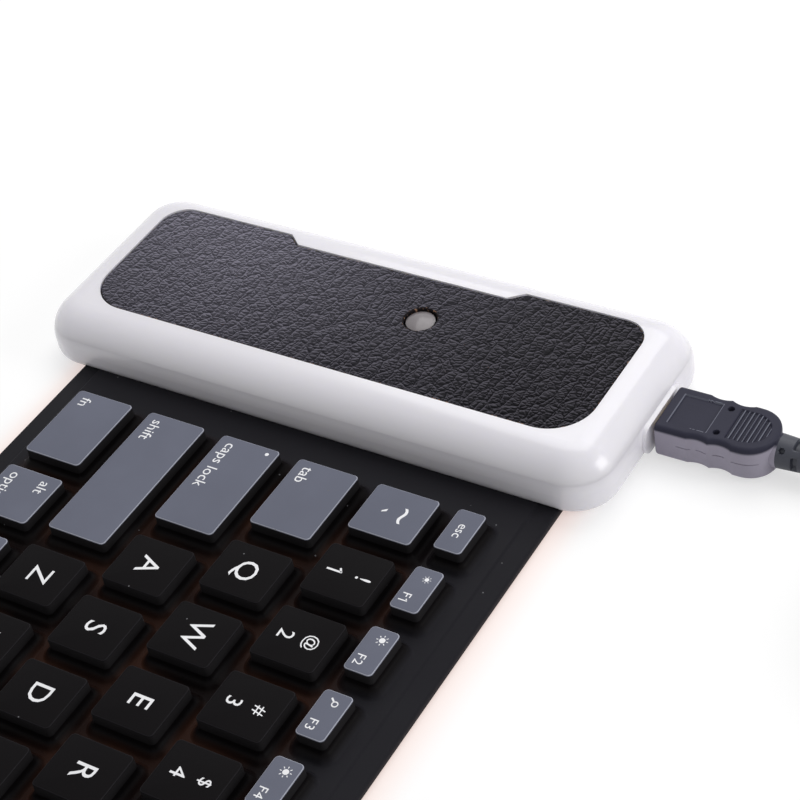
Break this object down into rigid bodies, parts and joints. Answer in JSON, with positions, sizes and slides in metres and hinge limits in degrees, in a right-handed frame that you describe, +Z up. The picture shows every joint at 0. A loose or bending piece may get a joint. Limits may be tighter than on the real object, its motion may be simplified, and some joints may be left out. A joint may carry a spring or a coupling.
{
  "type": "roll-up silicone keyboard",
  "caption": "Soft black roll-up keyboard with a rigid white housing, leather inlay and indicator at its left end, and a plugged-in charging cord.",
  "frame": {"origin": "middle of the keyboard's footprint on the surface that it lies on, the charging cord left out", "axes": "+X to the user's right along the key rows, +Y away from the user, +Z up out of the key tops"},
  "size_m": [0.292, 0.2272, 0.012],
  "materials": {
    "shell": "milky white, polished",
    "leather": "black pebbled leather, low sheen",
    "lens": "grey translucent dome",
    "silicone": "matte black silicone with a satin edge",
    "film": "amber printed film",
    "board": "green solder mask",
    "metal": "nickel plated",
    "gilt": "pale gilt plating",
    "foil": "dull foil pouch",
    "dark_plastic": "fine matt",
    "foot": "matt",
    "cord_pvc": "dark blue-grey soft sleeve, satin"
  },
  "bodies": {
    "housing": {"housing_top": "shell", "housing_bottom": "shell", "leather_inlay": "leather", "indicator_lens": "lens", "main_board": "board", "board_parts": "metal", "battery_cell": "foil", "usb_socket": "metal", "switch_body": "metal", "housing_screws": "metal", "rubber_feet": "foot", "clamp_bar": "dark_plastic", "key_sheet_0": "silicone", "circuit_film_0": "film", "base_sheet_0": "silicone"},
    "switch_slider": {"switch_knob": "dark_plastic"},
    "panel_1": {"key_sheet_1": "silicone", "circuit_film_1": "film", "base_sheet_1": "silicone"},
    "panel_2": {"key_sheet_2": "silicone", "circuit_film_2": "film", "base_sheet_2": "silicone"},
    "panel_3": {"key_sheet_3": "silicone", "circuit_film_3": "film", "base_sheet_3": "silicone"},
    "panel_4": {"key_sheet_4": "silicone", "circuit_film_4": "film", "base_sheet_4": "silicone"},
    "cap_fn": {"key_fn": "silicone"},
    "cap_option": {"key_option": "silicone"},
    "cap_command": {"key_command": "silicone"},
    "cap_shift": {"key_shift": "silicone"},
    "cap_z": {"key_z": "silicone"},
    "cap_x": {"key_x": "silicone"},
    "cap_caps": {"key_caps": "silicone"},
    "cap_a": {"key_a": "silicone"},
    "cap_s": {"key_s": "silicone"},
    "cap_d": {"key_d": "silicone"},
    "cap_tab": {"key_tab": "silicone"},
    "cap_q": {"key_q": "silicone"},
    "cap_w": {"key_w": "silicone"},
    "cap_e": {"key_e": "silicone"},
    "cap_r": {"key_r": "silicone"},
    "cap_grave": {"key_grave": "silicone"},
    "cap_1": {"key_1": "silicone"},
    "cap_2": {"key_2": "silicone"},
    "cap_3": {"key_3": "silicone"},
    "cap_4": {"key_4": "silicone"},
    "cap_esc": {"key_esc": "silicone"},
    "cap_f1": {"key_f1": "silicone"},
    "cap_f2": {"key_f2": "silicone"},
    "cap_f3": {"key_f3": "silicone"},
    "cap_f4": {"key_f4": "silicone"},
    "charging_cord": {"usb_plug_grip": "cord_pvc", "usb_plug_shell": "gilt", "cord_lead": "cord_pvc", "cord_coil": "cord_pvc", "cord_tail": "cord_pvc", "usb_a_grip": "cord_pvc", "usb_a_shell": "metal"}
  },
  "joints": [
    {"name": "roll_1", "type": "hinge", "parent": "housing", "child": "panel_1", "pos_m": [-0.003, 0, 0], "axis": [0, 1, 0], "range_deg": [0, 65], "stiffness_Nm_per_rad": 0.006},
    {"name": "roll_2", "type": "hinge", "parent": "panel_1", "child": "panel_2", "pos_m": [0.03425, 0, 0], "axis": [0, 1, 0], "range_deg": [0, 65], "stiffness_Nm_per_rad": 0.006},
    {"name": "roll_3", "type": "hinge", "parent": "panel_2", "child": "panel_3", "pos_m": [0.0715, 0, 0], "axis": [0, 1, 0], "range_deg": [0, 65], "stiffness_Nm_per_rad": 0.006},
    {"name": "roll_4", "type": "hinge", "parent": "panel_3", "child": "panel_4", "pos_m": [0.10875, 0, 0], "axis": [0, 1, 0], "range_deg": [0, 65], "stiffness_Nm_per_rad": 0.006},
    {"name": "power_switch", "type": "slide", "parent": "housing", "child": "switch_slider", "axis": [0, 1, 0], "range_m": [0, 0.0025]},
    {"name": "press_fn", "type": "slide", "parent": "housing", "child": "cap_fn", "axis": [0, 0, -1], "range_m": [0, 0.0012], "stiffness_N_per_m": 400},
    {"name": "press_option", "type": "slide", "parent": "housing", "child": "cap_option", "axis": [0, 0, -1], "range_m": [0, 0.0012], "stiffness_N_per_m": 400},
    {"name": "press_command", "type": "slide", "parent": "housing", "child": "cap_command", "axis": [0, 0, -1], "range_m": [0, 0.0012], "stiffness_N_per_m": 400},
    {"name": "press_shift", "type": "slide", "parent": "housing", "child": "cap_shift", "axis": [0, 0, -1], "range_m": [0, 0.0012], "stiffness_N_per_m": 400},
    {"name": "press_z", "type": "slide", "parent": "housing", "child": "cap_z", "axis": [0, 0, -1], "range_m": [0, 0.0012], "stiffness_N_per_m": 400},
    {"name": "press_x", "type": "slide", "parent": "housing", "child": "cap_x", "axis": [0, 0, -1], "range_m": [0, 0.0012], "stiffness_N_per_m": 400},
    {"name": "press_caps", "type": "slide", "parent": "housing", "child": "cap_caps", "axis": [0, 0, -1], "range_m": [0, 0.0012], "stiffness_N_per_m": 400},
    {"name": "press_a", "type": "slide", "parent": "housing", "child": "cap_a", "axis": [0, 0, -1], "range_m": [0, 0.0012], "stiffness_N_per_m": 400},
    {"name": "press_s", "type": "slide", "parent": "housing", "child": "cap_s", "axis": [0, 0, -1], "range_m": [0, 0.0012], "stiffness_N_per_m": 400},
    {"name": "press_d", "type": "slide", "parent": "housing", "child": "cap_d", "axis": [0, 0, -1], "range_m": [0, 0.0012], "stiffness_N_per_m": 400},
    {"name": "press_tab", "type": "slide", "parent": "housing", "child": "cap_tab", "axis": [0, 0, -1], "range_m": [0, 0.0012], "stiffness_N_per_m": 400},
    {"name": "press_q", "type": "slide", "parent": "housing", "child": "cap_q", "axis": [0, 0, -1], "range_m": [0, 0.0012], "stiffness_N_per_m": 400},
    {"name": "press_w", "type": "slide", "parent": "housing", "child": "cap_w", "axis": [0, 0, -1], "range_m": [0, 0.0012], "stiffness_N_per_m": 400},
    {"name": "press_e", "type": "slide", "parent": "housing", "child": "cap_e", "axis": [0, 0, -1], "range_m": [0, 0.0012], "stiffness_N_per_m": 400},
    {"name": "press_r", "type": "slide", "parent": "housing", "child": "cap_r", "axis": [0, 0, -1], "range_m": [0, 0.0012], "stiffness_N_per_m": 400},
    {"name": "press_grave", "type": "slide", "parent": "housing", "child": "cap_grave", "axis": [0, 0, -1], "range_m": [0, 0.0012], "stiffness_N_per_m": 400},
    {"name": "press_1", "type": "slide", "parent": "housing", "child": "cap_1", "axis": [0, 0, -1], "range_m": [0, 0.0012], "stiffness_N_per_m": 400},
    {"name": "press_2", "type": "slide", "parent": "housing", "child": "cap_2", "axis": [0, 0, -1], "range_m": [0, 0.0012], "stiffness_N_per_m": 400},
    {"name": "press_3", "type": "slide", "parent": "housing", "child": "cap_3", "axis": [0, 0, -1], "range_m": [0, 0.0012], "stiffness_N_per_m": 400},
    {"name": "press_4", "type": "slide", "parent": "housing", "child": "cap_4", "axis": [0, 0, -1], "range_m": [0, 0.0012], "stiffness_N_per_m": 400},
    {"name": "press_esc", "type": "slide", "parent": "housing", "child": "cap_esc", "axis": [0, 0, -1], "range_m": [0, 0.0012], "stiffness_N_per_m": 400},
    {"name": "press_f1", "type": "slide", "parent": "housing", "child": "cap_f1", "axis": [0, 0, -1], "range_m": [0, 0.0012], "stiffness_N_per_m": 400},
    {"name": "press_f2", "type": "slide", "parent": "housing", "child": "cap_f2", "axis": [0, 0, -1], "range_m": [0, 0.0012], "stiffness_N_per_m": 400},
    {"name": "press_f3", "type": "slide", "parent": "housing", "child": "cap_f3", "axis": [0, 0, -1], "range_m": [0, 0.0012], "stiffness_N_per_m": 400},
    {"name": "press_f4", "type": "slide", "parent": "housing", "child": "cap_f4", "axis": [0, 0, -1], "range_m": [0, 0.0012], "stiffness_N_per_m": 400},
    {"name": "plug_pull", "type": "slide", "parent": "housing", "child": "charging_cord", "axis": [0, 1, 0], "range_m": [0, 0.012]}
  ],
  "couplings": [
    {"joint": "roll_2", "follows": "roll_1", "ratio": 1},
    {"joint": "roll_3", "follows": "roll_1", "ratio": 1},
    {"joint": "roll_4", "follows": "roll_1", "ratio": 1}
  ]
}
